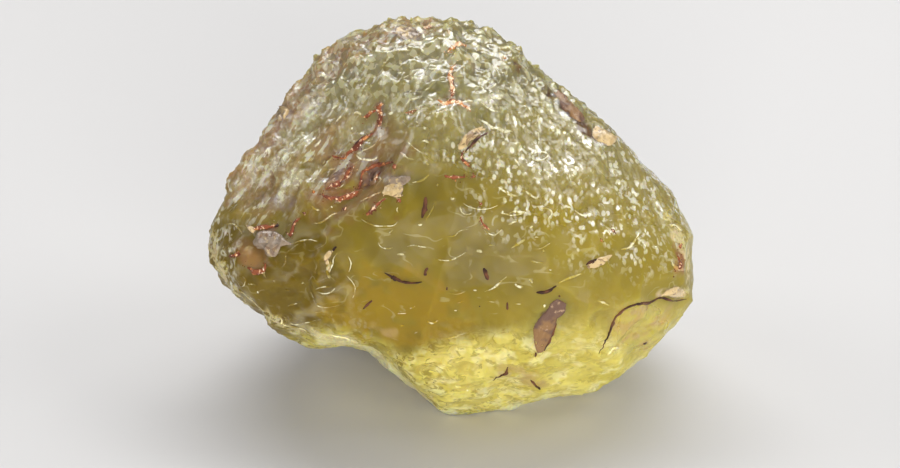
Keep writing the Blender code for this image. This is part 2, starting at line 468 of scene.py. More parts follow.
# Where each stain, finish or painted light lies: its paths in the leaning plane, and how far each reaches,
# in mm
PATCHES = {
    "amber": (((-120, -122, -80, -106, -30, -118), 6.5),),
    "tan_rim": (
        ((-46, 267, -95, 259, -150, 233, -187, 199, -222, 163, -250, 134, -277, 106, -296, 79), 5.4),
    ),
    # A painted glow along the lower rim of the lobe and foot
    "pale_rim": (
        ((-170, -152, -134, -159, -102, -175, -76, -200, -46, -226, -12, -244, 44, -252, 94, -238, 146,
         -229), 3.0),
    ),
    "cloud": (
        ((-194, 148, -180, 164), 1.9), ((-284, 56, -262, 69), 2.2), ((-226, 46, -208, 63), 2.0),
        ((-234, 83, -216, 104), 1.5), ((149, 143, 160, 149), 1.3), ((186, 119, 194, 113), 1.2),
        ((32, 164, 54, 170), 1.6), ((-40, 194, -26, 210), 1.6),
    ),
    "mauve": (((-256, 104, -234, 116), 1.6), ((-248, 34, -216, 34), 1.8), ((-84, 60, -60, 64), 1.1),),
    "russet": (
        ((-97, 156, -98, 132, -121, 110, -142, 89), 0.8), ((-140, 69, -162, 52), 1.6),
        ((-102, 70, -112, 58), 1.5), ((-125, 44, -161, 35), 1.1), ((4, 216, -1, 170, 18, 158), 0.8),
        ((-268, -12, -240, -6), 0.8), ((301, -36, 306, -54), 1.3),
    ),
    "umber": (
        ((132, 173, 149, 160, 166, 143, 181, 129), 2.0), ((198, 126, 210, 116), 0.7),
        ((85, 214, 93, 206), 0.9), ((126, -119, 122, -134), 1.0),
    ),
    "dun": (
        ((72, -194, 94, -198, 116, -210), 1.5), ((244, -146, 272, -126, 288, -109), 1.0),
        ((224, -119, 250, -112, 282, -106), 0.8), ((253, -156, 258, -155), 1.0),
        ((-104, -136, -82, -142), 0.9),
    ),
    "cream": (
        ((22, 219, 28, 214), 0.8), ((278, -92, 293, -89, 308, -91), 0.9),
        ((-320, -26, -312, -50, -302, -70), 0.9), ((296, -16, 308, -44, 314, -66), 1.1),
        ((-271, -33, -269, -35), 0.6),
    ),
    # Crinkled rims, painted as a bright band of glow and highlights
    "crinkled": (
        ((-320, -20, -314, -50, -298, -78, -274, -104, -244, -126), 2.2),
        ((-244, -124, -208, -140, -164, -150, -126, -156, -104, -168), 2.5),
        ((290, 10, 306, -20, 314, -50, 312, -84), 1.8),
    ),
    "rust_veil": (((-90, 100, -100, 60, -150, 45), 5.6), ((-274, -30, -254, -40), 2.2),),
    "lens": (
        ((-31, 182, -13, 186), 1.6), ((19, 184, 40, 182), 1.5), ((-28, 211, -13, 212), 0.8),
        ((35, 152, 66, 142), 1.7),
    ),
    "peach": (
        ((-274, -43, -262, -49), 1.5), ((302, -44, 299, -60), 1.1), ((-62, 254, -42, 251), 1.1),
        ((-16, 259, -2, 258), 0.8),
    ),
}


def weathering(around):
    """How strongly each colour, finish and painted light of the glass shows, 0 to 1, at points round the
    centre.
    """
    right, up, out = 1000 * (leaning_axes() @ around.T)
    wander = drift(around, 0.006, 61) + 0.4 * drift(around, 0.002, 62)
    ragged = drift(around, 0.0014, 53)[:, 0] + 0.5 * drift(around, 0.0007, 54)[:, 0]
    zone = zones(around)
    above_edge = up - np.interp(right, *pairs(LEMON_EDGE).T) + 1.3 * wander[:, 0]
    above_grains = up - np.interp(right, *pairs(SMOOTH_EDGE).T) + 1.3 * wander[:, 2]
    last_grains = 0.8 * zone["middle"] * ramp(-5.5, 1, above_grains) * ramp(-1, 5, right)
    end_grains = 0.7 * ramp(26.5, 29.5, -right)
    grainy = zone["right"] + zone["elsewhere"] + 0.25 * zone["left"] + end_grains + last_grains
    fade = 3.6 + 4.0 * ramp(8, 17, right)
    smoother = ramp(3, 13, right), ramp(-8, -3, -np.hypot(right - 3, up + 19))
    streak_rim = ramp(0.34, 0.74, streaked(around)) * zone["left"]
    cup_rim = ramp(0.58, 0.80, lobe_cups(around)) * zone["lobe"]
    shows = {name: painted(spots, around + CENTRE, ragged) for name, spots in PATCHES.items()}
    return shows | {
        "lemon": 1 - ramp(-1, 0, (above_edge - 0.6) / fade),
        "sage": ramp(2.6, 12.0, up + 0.30 * np.maximum(right, 0) + 1.3 * wander[:, 1]),
        "crumpled": 0.95 * (1 - 0.6 * smoother[0]) * (1 - 0.4 * smoother[1]),
        "bright_end": ramp(3, 13, right + 2 * wander[:, 2]) * (1 - ramp(1, 9, up)),
        "pitted": 1 - zone["middle"] - 0.8 * zone["lobe"] - 0.6 * zone["foot"] - 0.7 * zone["crown"],
        "grainy": grainy * (1 - 0.8 * shows["umber"]),
        "left": zone["left"],
        "dashed": zone["left"] + 0.8 * zone["crown"] * ramp(-2, 4, -right),
        "crown": zone["crown"],
        # Frost on the ridges of the streaks and cups, painted paler as highlights
        "rims": np.maximum(0.35 * streak_rim, 0.5 * cup_rim),
        "flake_scar": zone["flake scar"],
        "creases": creases(around) * (zone["foot"] + 0.4 * zone["lobe"]),
        "smooth": zone["middle"] + 0.6 * zone["lobe"] + 0.5 * zone["left"],
        "lobe": zone["lobe"],
        "frosted": zone["foot"] + 0.6 * zone["crown"] + 0.3 * zone["left"],
    }


for name, shows in weathering(worn).items():
    paint(stone, name, shows)


class Socket:
    """One output of a shader node. Operators on it add Math nodes."""

    def __init__(self, tree, output):
        self.tree = tree
        self.output = output

    def node(self, kind, settings=None, out=0, **inputs):
        """Adds any node: its settings first, then its sockets' values or links, by name or as i0, i1."""
        made = self.tree.nodes.new(kind)
        for name, value in (settings or {}).items():
            setattr(made, name, value)
        for name, value in inputs.items():
            socket = made.inputs[int(name[1:]) if name[1:].isdigit() else name.replace("_", " ")]
            if isinstance(value, Socket):
                self.tree.links.new(value.output, socket)
            else:
                socket.default_value = value
        return Socket(self.tree, made.outputs[out])

    def maths(self, operation, *values, kind="ShaderNodeMath", out=0):
        """The operation on these numbers, as one node."""
        inputs = {f"i{index}": value for index, value in enumerate(values)}
        return self.node(kind, {"operation": operation}, out, **inputs)

    def vectors(self, operation, *values, out=0):
        """The operation on this vector and the values, as one node."""
        return self.maths(operation, self, *values, kind="ShaderNodeVectorMath", out=out)

    def __add__(self, other):
        return self.maths("ADD", self, other)

    def __sub__(self, other):
        return self.maths("SUBTRACT", self, other)

    def __rsub__(self, other):
        return self.maths("SUBTRACT", other, self)

    def __mul__(self, other):
        return self.maths("MULTIPLY", self, other)

    __radd__ = __add__
    __rmul__ = __mul__

    def ramp(self, low, high):
        """0 below low and 1 above high, smooth between."""
        settings = {"interpolation_type": "SMOOTHSTEP"}
        return self.node("ShaderNodeMapRange", settings, Value=self, From_Min=low, From_Max=high)

    def colour(self, first, second):
        """A colour that goes from first to second as this goes from 0 to 1."""
        settings = {"data_type": "RGBA"}
        first = first if isinstance(first, Socket) else (*first, 1)
        second = second if isinstance(second, Socket) else (*second, 1)
        return self.node("ShaderNodeMix", settings, out=2, i0=self, i6=first, i7=second)


def shader_of(name):
    """(material, its Principled node, a first Socket of Object coordinates)."""
    material = bpy.data.materials.new(name)
    material.use_nodes = True
    tree = material.node_tree
    coordinates = tree.nodes.new("ShaderNodeTexCoord")
    return material, tree.nodes["Principled BSDF"], Socket(tree, coordinates.outputs["Object"])


def connect(socket, shader, name):
    """Links the socket to the shader's socket of that name."""
    socket.tree.links.new(socket.output, shader.inputs[name])


def even(shader, **numbers):
    """Sets what is the same all over on the node's own sockets."""
    for name, number in numbers.items():
        shader.inputs[name.replace("_", " ")].default_value = number


def bump(height, shader, strength, distance):
    """Joins a height to the shader's normal. The distance is in m for a height of 1."""
    bumped = height.node("ShaderNodeBump", Height=height, Strength=strength, Distance=distance)
    connect(bumped, shader, "Normal")


def noise(place, scale, detail=2, roughness=0.5, bend=0.0):
    """A cloudy number about 0.5, whose swells are about 1 / scale in m across."""
    settings = {"Scale": scale, "Detail": detail, "Roughness": roughness, "Distortion": bend}
    return place.node("ShaderNodeTexNoise", Vector=place, **settings)


def mark(place, name):
    """The number that the piece keeps under this name."""
    return place.node("ShaderNodeAttribute", {"attribute_name": name}, out=2)


def cells(place, scale, bend=0.35):
    """0 at the middle of each crowded cell: the squared distance to the nearest scattered point."""
    drifted = place.node("ShaderNodeTexNoise", out=1, Vector=place, Scale=scale * 0.8, Detail=0.0)
    bent = drifted.vectors("MULTIPLY_ADD", (bend / scale,) * 3, place)
    far = place.node("ShaderNodeTexVoronoi", Vector=bent, Scale=scale)
    return far * far


def flat_chips(place, scale):
    """(chance number, height) of flat chips: the height is the way from a chip's middle . its tilt."""
    chance = place.node("ShaderNodeTexVoronoi", out=1, Vector=place, Scale=scale)
    middle = Socket(place.tree, chance.output.node.outputs["Position"])
    tilt = chance.vectors("SUBTRACT", (0.5, 0.5, 0.5))
    height = place.vectors("SUBTRACT", middle).vectors("DOT_PRODUCT", tilt, out=1)
    return place.node("ShaderNodeSeparateColor", i0=chance), height


# The glass's colours, as they show with the light coming through
DEEP_OLIVE, MUSTARD, AMBER = (0.215, 0.160, 0.016), (0.300, 0.222, 0.020), (0.335, 0.215, 0.012)
DUSKY, BRIGHT_OLIVE, SAGE = (0.155, 0.097, 0.006), (0.42, 0.33, 0.055), (0.328, 0.280, 0.108)
# DULL_LEMON and LEMON are the foot's own yellow painted lighter as a glow of the light coming through,
# STRAW painted highlights and glow on it
DULL_LEMON, LEMON, STRAW = (0.66, 0.56, 0.115), (0.81, 0.70, 0.185), (0.94, 0.87, 0.42)
# FOLD_SHADE and CREASE_SHADE are painted shade in the foot's folds, wrinkles and creases
FOLD_SHADE, CREASE_SHADE = (0.27, 0.205, 0.032), (0.40, 0.31, 0.058)
PEAR, SOFT_GREEN, SOFT_PINK = (0.57, 0.47, 0.11), (0.50, 0.43, 0.10), (0.55, 0.39, 0.12)
# FROST_AND_GLINT is frost with painted glints, GLINT is painted highlights, CHALK is whitish frost and
# cloud
FROST_AND_GLINT, GLINT, CHALK = (0.78, 0.75, 0.52), (0.84, 0.81, 0.60), (0.64, 0.59, 0.43)
# PALE_LINE_GLINT is painted highlights in hair-thin lines, HONEY the crinkled rims' painted glow and
# highlights
PALE_LINE_GLINT, HONEY, TAN = (0.54, 0.47, 0.22), (0.72, 0.62, 0.29), (0.41, 0.240, 0.120)
LENS_OLIVE, SMOKE, PEACH = (0.27, 0.238, 0.085), (0.25, 0.225, 0.11), (0.39, 0.215, 0.080)

# Stains and painted highlights laid one over the other: where, the noise that breaks each up (its
# scale, and from where to where it fades in), how strongly it shows, and its colour
EARLY_STAINS = (
    ("rust_veil", 260, 0.25, 0.65, 0.9, (0.24, 0.125, 0.040)),
    ("left", 230, 0.30, 0.62, 0.65, TAN),
    # Frost on the ridges of the streaks and cups, painted paler as highlights
    ("rims", 260, 0.38, 0.62, 0.5, CHALK),
)
DUN_STAINS = (
    ("dun", 300, 0.30, 0.55, 0.7, (0.50, 0.35, 0.15)),
    ("cream", 600, 0.30, 0.52, 0.8, (0.78, 0.62, 0.34)),
)
MAUVE_STAINS = (
    ("mauve", 500, 0.30, 0.60, 0.7, (0.32, 0.235, 0.19)),
    ("cloud", 700, 0.22, 0.52, 0.7, CHALK),
)
RUST_STAINS = (
    ("tan_rim", 420, 0.10, 0.38, 0.9, TAN),
    ("russet", 650, 0.30, 0.60, 0.8, (0.30, 0.115, 0.045)),
    ("umber", 520, 0.20, 0.42, 1.0, (0.155, 0.080, 0.035)),
)
# The furrows' own axes, across them, out of them and along them, scaled to draw dashes out along them
FURROW_SIDES = ((0.17, 0.12, 0.22), (-0.82, 0.27, 0.51), (0.0, -0.88, 0.47))
CHIP_DEPTH = 1100  # of the crown's flat chips, against the other heights


def worn_glass(name):
    """(material, shader) of the glass, in the colours, finishes and painted light and shade that
    weathering has painted.
    """
    material, shader, place = shader_of(name)

    def on(patch):
        """How strongly the glass shows this stain or finish."""
        return mark(place, patch)

    def stained(body, stains):
        """Each stain's and painted highlight's colour over the last, by its mark . its noise . its share.
        """
        for patch, scale, low, high, share, colour in stains:
            body = (on(patch) * noise(place, scale).ramp(low, high) * share).colour(body, colour)
        return body

    # The body's olive, mustard and amber, going dusky at the lobe and sage towards the crown
    body = noise(place, 160, 2, 0.6).ramp(0.35, 0.68).colour(DEEP_OLIVE, MUSTARD)
    body = (on("sage") * 0.95).colour(body, SAGE)
    body = (on("lobe") * (1 - on("sage")) * 0.8).colour(body, DUSKY)
    body = (on("bright_end") * 0.45).colour(body, BRIGHT_OLIVE)
    body = (on("amber") * 0.8).colour(body, AMBER)

    # The foot's glow, painted: lemon for the light coming through, straw highlights, painted shade in the
    # wrinkles drawn out sideways, and the flake scar's soft bands
    drawn_out = place.vectors("MULTIPLY", (0.55, 1.0, 1.0))
    wrinkles = noise(drawn_out, 640, 3, 0.6, 1.1)
    glow = noise(place, 150).ramp(0.34, 0.62).colour(DULL_LEMON, LEMON)
    glow = ((1 - wrinkles.ramp(0.39, 0.51)) * on("crumpled") * 0.7).colour(glow, CREASE_SHADE)
    glow = (noise(place, 420, 2, 0.55).ramp(0.48, 0.62) * 0.65).colour(glow, STRAW)
    off_fold = (wrinkles - 0.48) * (wrinkles - 0.48)
    folded = (1 - off_fold.ramp(0.0002, 0.0022)) * noise(place, 520).ramp(0.38, 0.52)
    glow = (folded * on("crumpled")).colour(glow, FOLD_SHADE)
    body = on("lemon").colour(body, glow)
    # A painted glow along the lower rim, in straw, broken by the wrinkles
    body = (on("pale_rim") * wrinkles.ramp(0.30, 0.44)).colour(body, STRAW)
    swirl = noise(place, 190, 1, bend=1.2)
    bands = (1 - swirl.ramp(0.34, 0.46)).colour(PEAR, SOFT_GREEN)
    body = (on("flake_scar") * 0.95).colour(body, swirl.ramp(0.50, 0.66).colour(bands, SOFT_PINK))

    # The stains, the hair-thin pale lines of the smooth parts, which are painted highlights, painted shade
    # in the creases, the crinkled rims' painted glow, and painted glints on the clouds
    body = stained(body, EARLY_STAINS)
    wandering = noise(drawn_out, 300)
    off_line = (wandering - 0.5) * (wandering - 0.5)
    lines = (1 - off_line.ramp(0.00002, 0.0003)) * noise(place, 420).ramp(0.48, 0.60) * on("smooth")
    body = (lines * 0.45).colour(body, PALE_LINE_GLINT)
    # Painted shade in the creases
    body = (on("creases") * 0.25).colour(body, CREASE_SHADE)
    body = stained(body, DUN_STAINS)
    crinkles = noise(place, 1300, 2, 0.65)
    # The crinkled rims' painted glow and highlights
    body = (on("crinkled") * crinkles.ramp(0.42, 0.54) * 0.9).colour(body, HONEY)
    body = (on("peach") * 0.85).colour(body, PEACH)
    body = stained(body, MAUVE_STAINS)
    # Painted glints on the clouds
    body = (on("cloud") * noise(place, 1500, 2, 0.65).ramp(0.48, 0.58)).colour(body, GLINT)
    body = stained(body, RUST_STAINS)

    # Painted highlights, partly frost, on the grainy right face: bright beads, some of them curled round
    # the pits between
    lumpy = noise(place, 1150, 1, 0.4)
    downhill = place.vectors("MULTIPLY", (1.0, 0.62, 0.62))
    pits, near = cells(downhill, 640, 0.5), cells(downhill, 1150, 0.3)
    curl_glints = pits.ramp(0.11, 0.16) * (1 - pits.ramp(0.22, 0.29)) * noise(place, 800).ramp(0.50, 0.57)
    bead_glints = (1 - near.ramp(0.05, 0.13)) + 0.7 * lumpy.ramp(0.60, 0.65) + 0.9 * curl_glints
    bead_glints = bead_glints * noise(place, 260).ramp(0.38, 0.54) * on("grainy")
    body = (bead_glints * 0.85).colour(body, GLINT)

    # Painted highlights and painted shade in dashes along the furrows
    sides = (place.vectors("DOT_PRODUCT", side, out=1) for side in FURROW_SIDES)
    furrowed = place.node("ShaderNodeCombineXYZ", **{f"i{axis}": side for axis, side in enumerate(sides)})
    dashes = noise(furrowed, 1150)
    glint_strokes = dashes.ramp(0.55, 0.61) * noise(place, 300).ramp(0.42, 0.56) * on("dashed")
    body = (glint_strokes * 0.75).colour(body, GLINT)
    body = ((1 - dashes.ramp(0.36, 0.43)) * on("dashed") * 0.45).colour(body, DEEP_OLIVE)

    # The crown's smoky chips and its pale chips, frost with painted glints, its clear lenses, and the
    # crests' pale tops, painted highlights
    chip, chip_height = flat_chips(place, 1250)
    chip = chip + 0.5 * noise(place, 1300) - 0.25
    body = ((1 - chip.ramp(0.28, 0.40)) * on("crown") * 0.6).colour(body, SMOKE)
    body = (chip.ramp(0.58, 0.68) * on("crown") * 0.5).colour(body, FROST_AND_GLINT)
    body = (on("lens") * 0.85).colour(body, LENS_OLIVE)
    crest_glint = on("crest_glint") * noise(place, 1500, 2, 0.6).ramp(0.38, 0.62) * noise(place, 420).ramp(0.34, 0.50)
    connect(crest_glint.colour(body, FROST_AND_GLINT), shader, "Base Color")

    rough = 0.20 + 0.10 * noise(place, 240).ramp(0.35, 0.7) + 0.25 * on("frosted")
    connect(rough + 0.22 * on("smooth"), shader, "Roughness")
    gloss = (1 - 0.85 * on("lemon")) * (0.06 + 0.72 * on("sage")) * (1 - 0.5 * on("tan_rim"))
    gloss = gloss * (1 - 0.6 * on("smooth")) * (1 - 0.6 * on("grainy"))
    connect(gloss + 0.5 * on("crest_glint") + 0.8 * bead_glints + 0.5 * glint_strokes, shader, "Coat Weight")
    grain = on("pitted") * (0.34 * lumpy - 0.25 * near) + 0.22 * on("left") * dashes
    grain = grain + CHIP_DEPTH * on("crown") * (1 - on("lens")) * chip_height
    grain = grain + 0.35 * on("crinkled") * crinkles
    foot = on("lemon") * (1 - on("flake_scar")) * (0.08 + 0.42 * on("crumpled"))
    bump(grain + foot * wrinkles, shader, 1.0, 0.001)
    even(shader, IOR=1.46, Specular_IOR_Level=0.15, Coat_Roughness=0.11, Coat_IOR=2.0)
    return material, shader


glass, shader = worn_glass("sand-worn desert glass")
even(shader, Transmission_Weight=0.35, Subsurface_Weight=1.0)
even(shader, Subsurface_Radius=(1.0, 0.8, 0.2), Subsurface_Scale=0.007)
tint = glass.node_tree.nodes.new("ShaderNodeVolumeAbsorption")
even(tint, Color=(0.96, 0.92, 0.10, 1), Density=110)
output = glass.node_tree.nodes["Material Output"]
glass.node_tree.links.new(tint.outputs[0], output.inputs["Volume"])
stone.data.materials.append(glass)
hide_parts("desert_glass")
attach(stone, "root")

# ---------------------------------------------------------------------------------------------------
# The rust clay. Red-brown desert clay, packed into the cracks and pits and dried hard there. It lies
# in ragged ribbons, half sunk in the glass, dark in the depth of a crack and orange where it is thin.
# ---------------------------------------------------------------------------------------------------


def skin(rings):
    """(points, faces) of a closed skin over rings of points, whose first and last are single points."""
    count, around = rings.shape[0] - 2, rings.shape[1]
    points = np.concatenate((rings[:1, 0], rings[1:-1].reshape(-1, 3), rings[-1:, 0]))
    at = 1 + np.arange(count * around).reshape(count, around)
    after = np.roll(at, -1, axis=1)
    sides = np.stack((at[:-1], after[:-1], after[1:], at[1:]), axis=-1).reshape(-1, 4)
    start = np.stack((np.zeros(around, int), after[0], at[0]), axis=-1)
    end = np.stack((np.full(around, len(points) - 1), at[-1], after[-1]), axis=-1)
    a, b, c, d = (points[sides[:, side]] - points[0] for side in range(4))
    volume = (a * (np.cross(b, c) + np.cross(c, d))).sum()
    turned = 1 if volume > 0 else -1
    return points, [face[::turned] for part in (sides, start, end) for face in part.tolist()]


def joined(name, skins):
    """One mesh object of several closed skins."""
    points, faces, count = [], [], 0
    for spots, outlines in skins:
        points.append(spots)
        faces += [[corner + count for corner in face] for face in outlines]
        count += len(spots)
    return solid_mesh(name, np.concatenate(points), faces)


def eased(line):
    """Each point of a line at the mean of five neighbours, weighed 1 2 3 2 1."""
    padded = np.pad(line, ((2, 2), (0, 0)), mode="edge")
    return sum(weight * padded[i : i + len(line)] for i, weight in enumerate((1, 2, 3, 2, 1))) / 9


def ribbons(paths, behind=False):
    """Closed ribbons laid along paths on the stone. Each ring is an ellipse across the path, half width
    by height, both tapered to the ends as sqrt(sin(pi s)) and made uneven by drift, and half sunk."""
    lines = [smooth_path(places) for places, _, _ in paths]
    points, normals = land(np.concatenate(lines), behind)
    breaks = np.cumsum([len(line) for line in lines])[:-1]
    points = np.concatenate([eased(eased(line)) for line in np.split(points, breaks)])
    normals = unit(np.concatenate([eased(line) for line in np.split(normals, breaks)]))
    points = CENTRE + stone_surface(unit(points - CENTRE))
    angle = np.linspace(0, 2 * math.pi, RIBBON_SIDES, endpoint=False)
    made = []
    pieces = zip(paths, np.split(points, breaks), np.split(normals, breaks))
    for (_, half_width, height), spots, outward in pieces:
        s = np.linspace(0, 1, len(spots))
        taper = np.sqrt(np.sin(math.pi * s).clip(0))[:, None, None]
        along = unit(np.gradient(spots, axis=0))
        side = unit(np.cross(outward, along))
        across = side[:, None] * np.cos(angle)[:, None] * half_width / 1000
        lift = outward[:, None] * (np.sin(angle)[:, None] - 0.2) * height / 1000
        ring = (spots[:, None] + 2 * across).reshape(-1, 3)
        rough = (drift(ring, 0.0009, 71) + 0.8 * drift(ring, 0.0004, 72)).reshape(across.shape)
        across = across * (1 + 0.6 * rough[..., :1]) + 0.25 * half_width / 1000 * rough
        made.append(skin(spots[:, None] + taper * (across + lift * (1 + 0.5 * rough[..., 1:2]))))
    return made


def lumps(outlines, behind=False):
    """Closed flat lumps laid on the stone. Rings run from the top's middle over the rim to the underside:
    the outline times sin(pi s)^0.6, lifted by thickness times cos(pi s), with ragged rims and tops."""
    s = np.linspace(0, 1, LUMP_RINGS)
    made = []
    for corners, thickness in outlines:
        corners = pairs(corners + corners[:6])
        around = 1 + np.linspace(0, len(corners) - 3, LUMP_SPOKES, endpoint=False)
        rim = smooth_through(np.arange(len(corners)), corners, around)
        middle = rim.mean(axis=0)
        places = middle + (np.sin(math.pi * s) ** 0.6)[:, None, None] * (rim - middle)
        ragged = drift(np.insert(places.reshape(-1, 2), 2, thickness, axis=1), 0.5, 75)[:, :2]
        ragged = ragged.reshape(places.shape) * (np.sin(math.pi * s) ** 2)[:, None, None]
        points, normals = land((places + 0.16 * ragged).reshape(-1, 2), behind)
        uneven = 1 + 0.7 * drift(points, 0.0008, 73)[:, :1] + 0.8 * chips(points, 0.0007, 74)[:, None]
        rise = np.repeat(np.cos(math.pi * s), LUMP_SPOKES)[:, None]
        points += normals * (rise * uneven - 0.25) * thickness / 1000
        made.append(skin(points.reshape(LUMP_RINGS, LUMP_SPOKES, 3)))
    return made


def crumbs(paths, count, seed, behind=False):
    """Tiny closed grains strewn along ribbons' paths: each is a bent ball of a chance size."""
    chance = np.random.default_rng(seed)
    places, sizes = [], []
    for path, half_width, _ in paths:
        line = smooth_path(path)
        many = max(int(count * len(line) * 0.2), 1)
        places.append(line[chance.integers(0, len(line), many)] + chance.normal(0, half_width, (many, 2)))
        sizes.append(chance.uniform(0.04, 0.11, many))
    points, normals = land(np.concatenate(places), behind)
    rings, spokes = np.linspace(0, math.pi, 5), np.linspace(0, 2 * math.pi, 6, endpoint=False)
    polar, turn = np.meshgrid(rings, spokes, indexing="ij")
    ball = np.stack((np.sin(polar) * np.cos(turn), np.sin(polar) * np.sin(turn), np.cos(polar)), axis=-1)
    made = []
    for spot, outward, size in zip(points, normals, np.concatenate(sizes)):
        side = unit(np.cross(outward, (0.3, 0.2, 0.9)))
        bent = 1 + 0.3 * drift(spot + ball.reshape(-1, 3) * 0.001, 0.0006, 77)[:, :1].reshape(5, 6, 1)
        shape = ball * (size / 1000) * bent
        made.append(skin(spot + shape @ np.stack((side, np.cross(outward, side), 0.7 * outward))))
    return made


def round_centre(piece):
    """The piece's points, measured from the stone's centre."""
    return np.array([vertex.co for vertex in piece.data.vertices]) - CENTRE


def finish(piece, material):
    """Gives the piece its material, and has it ride with the stone."""
    piece.data.materials.append(material)
    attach(piece, "root")


RIBBON_SIDES = 10
LUMP_RINGS, LUMP_SPOKES = 15, 44

# Each ribbon's path in the leaning plane, its half width in mm and its height in mm
RUST_RIBBONS = (
    ((-8, 229, 5, 237, 20, 240), 0.28, 0.22), ((6, 217, -3, 205, 0, 187, -1, 167), 0.3, 0.25),
    ((-21, 168, -9, 161, 1, 166, 11, 161, 26, 152), 0.32, 0.25), ((66, 223, 73, 220), 0.25, 0.18),
    ((14, 99, 13, 89, 25, 77), 0.2, 0.16), ((-12, 65, 4, 62, 19, 63), 0.24, 0.18),
    ((23, 63, 33, 65), 0.2, 0.14), ((37, 30, 39, 24), 0.22, 0.16), ((37, 9, 41, 0, 50, -8), 0.15, 0.12),
    ((211, -9, 218, -8), 0.3, 0.18), ((196, -19, 200, -23), 0.16, 0.12),
    ((-92, 163, -98, 153, -95, 146, -98, 129), 0.34, 0.28),
    ((-119, 142, -109, 147, -99, 152), 0.24, 0.18),
    ((-104, 122, -121, 110, -133, 100, -143, 87), 0.34, 0.25), ((-140, 88, -161, 91), 0.14, 0.12),
    ((-133, 78, -142, 63, -156, 52, -169, 47), 0.4, 0.22),
    ((-76, 83, -98, 78, -116, 69, -121, 58, -124, 45), 0.28, 0.22),
    ((-122, 45, -142, 36, -161, 35, -175, 41), 0.34, 0.24), ((-96, 74, -99, 62, -108, 53), 0.34, 0.2),
    ((-80, 78, -73, 74), 0.3, 0.2), ((-138, 23, -146, 19), 0.2, 0.14), ((-184, 47, -186, 40), 0.24, 0.18),
    ((-194, 17, -197, 14), 0.26, 0.18), ((-201, 10, -209, 2, -211, -5, -215, -14, -221, -9), 0.26, 0.2),
    ((-87, 36, -100, 24, -114, 11), 0.28, 0.22), ((-73, 35, -67, 28), 0.26, 0.2),
    ((-63, 149, -48, 151), 0.16, 0.14), ((-270, -7, -259, -4, -244, -3, -229, 0), 0.34, 0.24),
    ((-299, -42, -288, -40, -281, -37), 0.28, 0.2),
    ((-271, -55, -259, -62, -251, -61, -247, -49), 0.38, 0.24), ((-39, 261, -26, 263), 0.4, 0.25),
    ((297, -40, 302, -49, 299, -62), 0.28, 0.2), ((301, -32, 306, -24), 0.34, 0.22),
)
RUST_RIBBONS_BEHIND = (
    ((-140, 120, -121, 104, -109, 82, -114, 60), 0.34, 0.25), ((-110, 80, -89, 74, -76, 81), 0.24, 0.18),
    ((42, 150, 58, 137, 61, 119, 80, 106), 0.32, 0.24), ((11, 30, 29, 25, 40, 12), 0.24, 0.18),
    ((-40, -30, -54, -46), 0.28, 0.2), ((140, 8, 161, -7, 182, -9), 0.3, 0.22),
    ((189, 62, 194, 55), 0.3, 0.2), ((-198, 11, -212, -4, -210, -22), 0.3, 0.22),
)

clay = joined(
    "rust_clay",
    ribbons(RUST_RIBBONS)
    + crumbs(RUST_RIBBONS, 5, 81)
    + ribbons(RUST_RIBBONS_BEHIND, behind=True)
    + crumbs(RUST_RIBBONS_BEHIND, 5, 82, behind=True),
)
paint(clay, "dusty", ramp(0.013, 0.016, leaning_axes()[1] @ round_centre(clay).T))
material, shader, place = shader_of("dry rust clay")
deep = (0.120, 0.032, 0.016)
brick = (0.235, 0.068, 0.027)
orange = (0.50, 0.205, 0.068)
peach = (0.72, 0.47, 0.28)
pale_dust = (0.85, 0.72, 0.52)
dusty = 0.11 * mark(place, "dusty")
earth = noise(place, 900, 3, 0.6).ramp(0.42, 0.58).colour(deep, brick)
earth = (noise(place, 1200, 4, 0.6) + dusty).ramp(0.55, 0.66).colour(earth, orange)
earth = (noise(place, 2000, 3) + dusty).ramp(0.58, 0.66).colour(earth, peach)
earth = (noise(place, 2900, 2) + dusty).ramp(0.66, 0.71).colour(earth, pale_dust)
connect(earth, shader, "Base Color")
connect(0.62 + 0.3 * noise(place, 900, 3), shader, "Roughness")
bump(noise(place, 2600, 4, 0.65), shader, 0.6, 0.0002)
finish(clay, material)

# ---------------------------------------------------------------------------------------------------
# The dark crevices. Narrow cracks and burst bubbles in the smooth front of the glass, filled with
# clay painted near-black as shadow, and the long crack that bounds the flake scar at the lower right.
# ---------------------------------------------------------------------------------------------------

CREVICES = (
    ((-91, -63, -75, -72, -60, -77, -38, -76), 0.22, 0.16), ((-80, -69, -72, -75), 0.3, 0.18),
    ((-32, -55, -37, -69), 0.24, 0.16), ((41, -56, 44, -66, 49, -74), 0.22, 0.16),
    ((110, -90, 125, -89, 139, -80), 0.22, 0.16), ((-105, -99, -119, -113), 0.17, 0.14),
    ((73, -101, 73, -114), 0.16, 0.12), ((-9, -85, -5, -85), 0.22, 0.14),
    ((35, -108, 38, -108), 0.15, 0.12), ((-35, 38, -37, 21, -40, 7), 0.24, 0.18),
    ((49, 125, 37, 116, 27, 107, 16, 97), 0.2, 0.2), ((-112, 119, -125, 107, -131, 100), 0.18, 0.3),
    ((-229, -1, -238, -3), 0.26, 0.3), ((-159, -36, -152, -28), 0.17, 0.14),
    ((-82, -69, -76, -72), 0.3, 0.18),
    ((312, -98, 292, -101, 276, -96, 258, -104, 242, -105, 226, -113, 215, -124, 210, -137, 203, -153,
     193, -172), 0.19, 0.18), ((176, -54, 184, -49, 193, -45), 0.26, 0.22),
    ((138, -129, 132, -146, 121, -168), 0.2, 0.22), ((141, -96, 143, -93), 0.18, 0.14),
    ((110, -166, 109, -175), 0.12, 0.12), ((53, -207, 62, -199, 70, -197, 74, -186), 0.19, 0.14),
    ((103, -204, 110, -212, 118, -219), 0.19, 0.14), ((-26, -207, -22, -207), 0.2, 0.12),
    ((252, -156, 256, -158), 0.28, 0.16),
)
